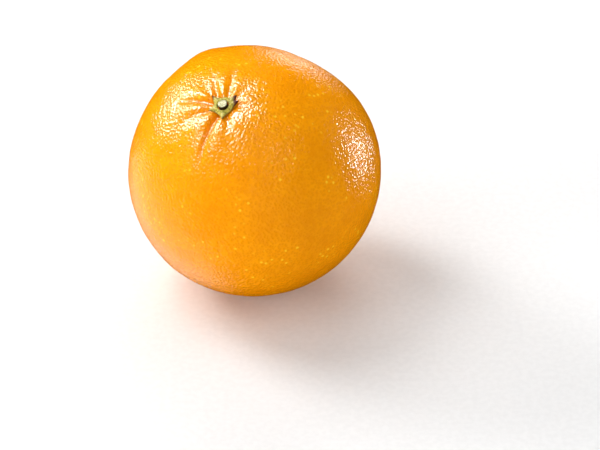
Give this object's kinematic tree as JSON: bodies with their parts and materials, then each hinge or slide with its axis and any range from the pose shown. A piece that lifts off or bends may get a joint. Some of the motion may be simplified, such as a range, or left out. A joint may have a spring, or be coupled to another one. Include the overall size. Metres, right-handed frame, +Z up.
{
  "type": "orange",
  "caption": "Whole sweet orange lying on a small flat spot, stem end up and leaning forward, with its dried green star calyx and a cut stem stub.",
  "frame": {"origin": "centre of the flat spot that the orange rests on", "axes": "+Z up, away from the surface it rests on; the stem end leans 27.3 degrees from +Z, mostly towards -Y and a little towards -X"},
  "size_m": [0.0798, 0.0797, 0.0787],
  "materials": {
    "peel": "waxy orange peel with pores, satin to glossy",
    "calyx": "dried green plant tissue with brown tips, dull",
    "stem": "pale cut stem with a dark corky side, dull"
  },
  "bodies": {
    "root": {"fruit": "peel", "calyx": "calyx", "stem_stub": "stem"}
  },
  "joints": []
}
